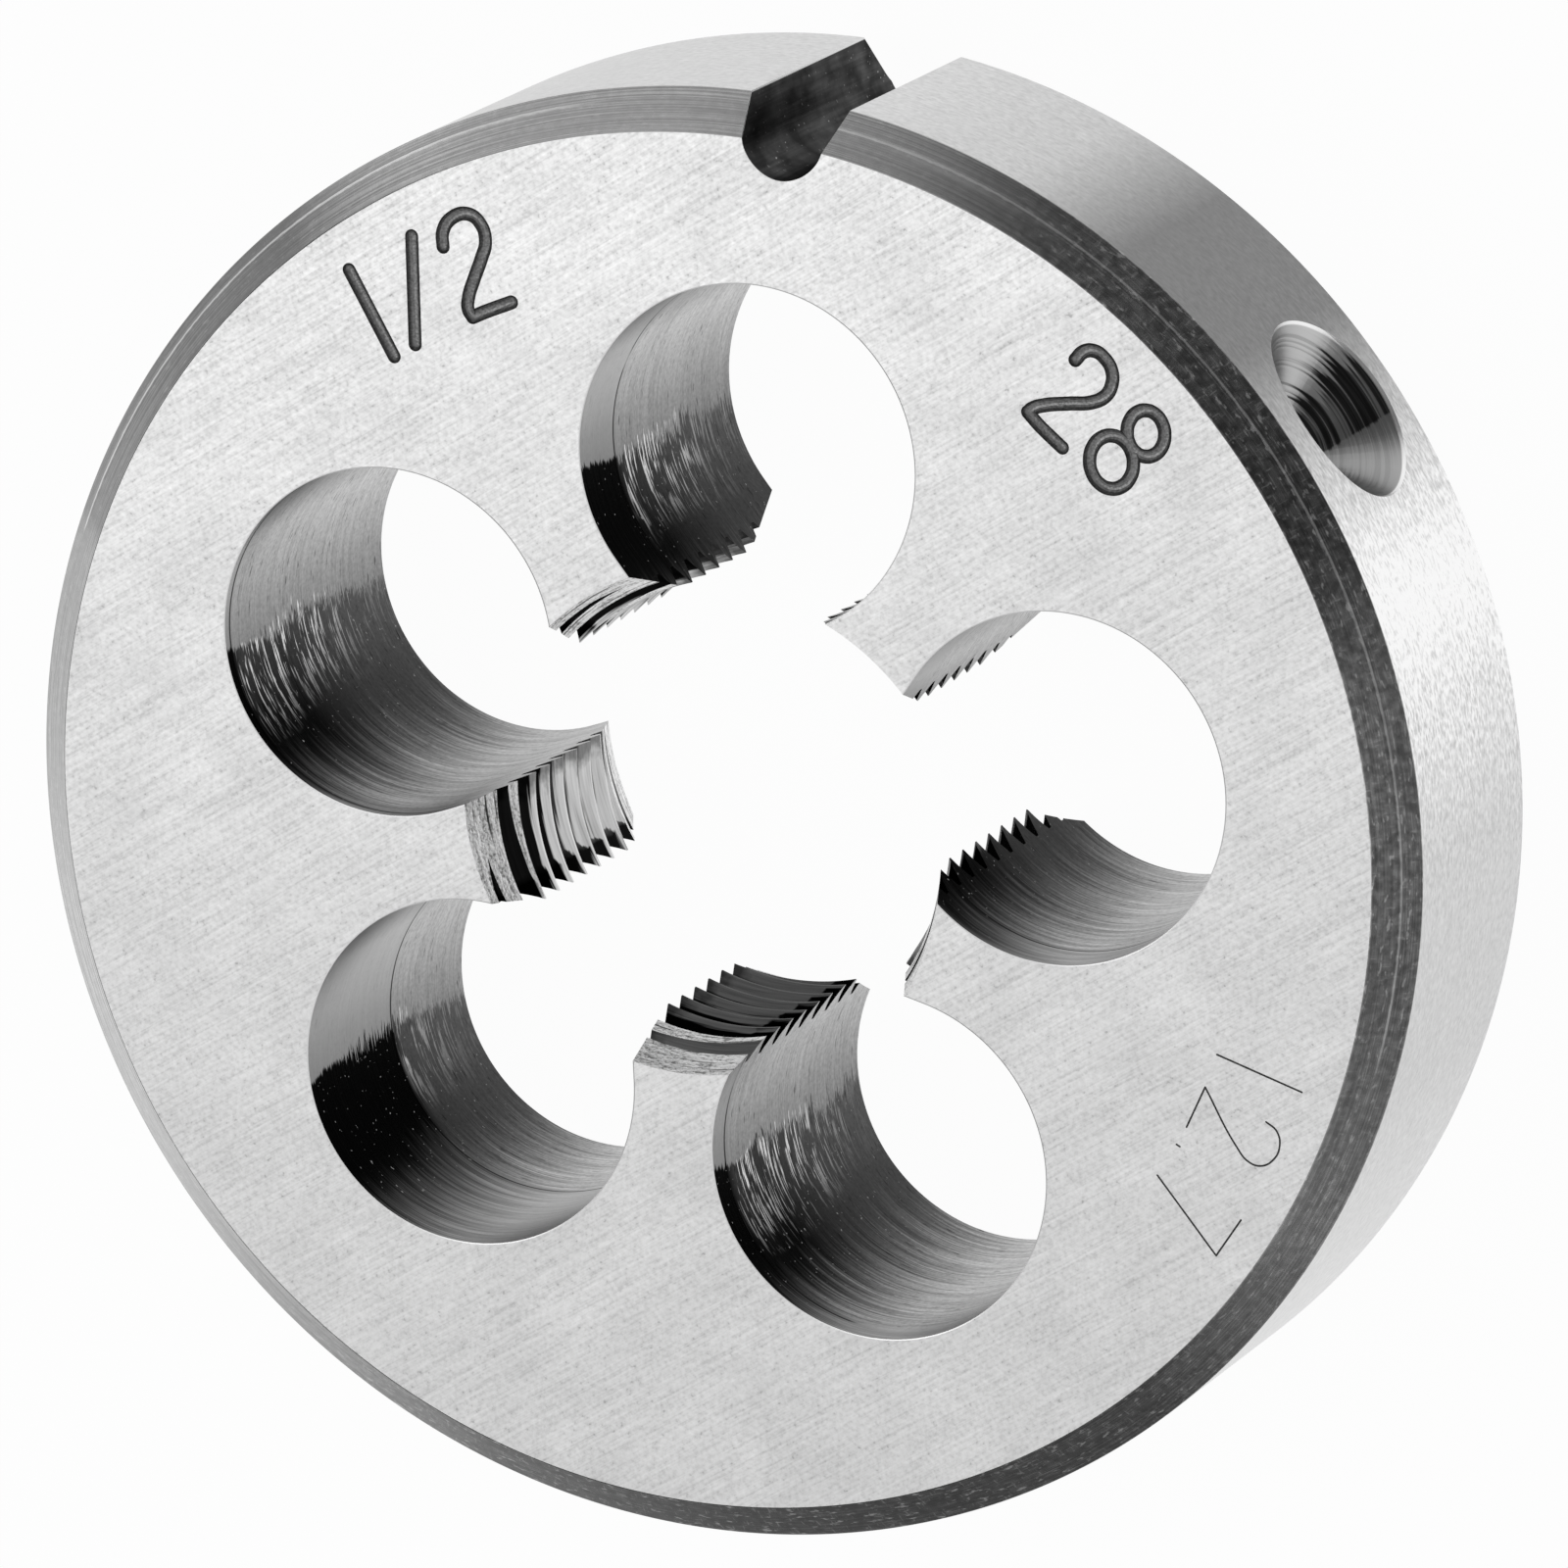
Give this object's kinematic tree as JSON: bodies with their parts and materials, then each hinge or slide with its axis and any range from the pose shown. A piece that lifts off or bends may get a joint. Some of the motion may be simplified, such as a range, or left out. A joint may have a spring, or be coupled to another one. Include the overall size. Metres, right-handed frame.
{
  "type": "round threading die",
  "caption": "Round hand-threading die: a thick steel disc with chip holes that open into threaded lands, an adjusting notch and conical screw seats in its rim.",
  "frame": {"origin": "centre of the plain face, which the die lies on", "axes": "+Z along the thread axis out of the marked face, +Y through the adjusting notch"},
  "size_m": [0.038, 0.038, 0.01],
  "materials": {
    "tool_steel": "ground faces and rim, drilled chip holes, turned edge chamfers"
  },
  "bodies": {
    "root": {"die_body": "tool_steel"}
  },
  "joints": []
}
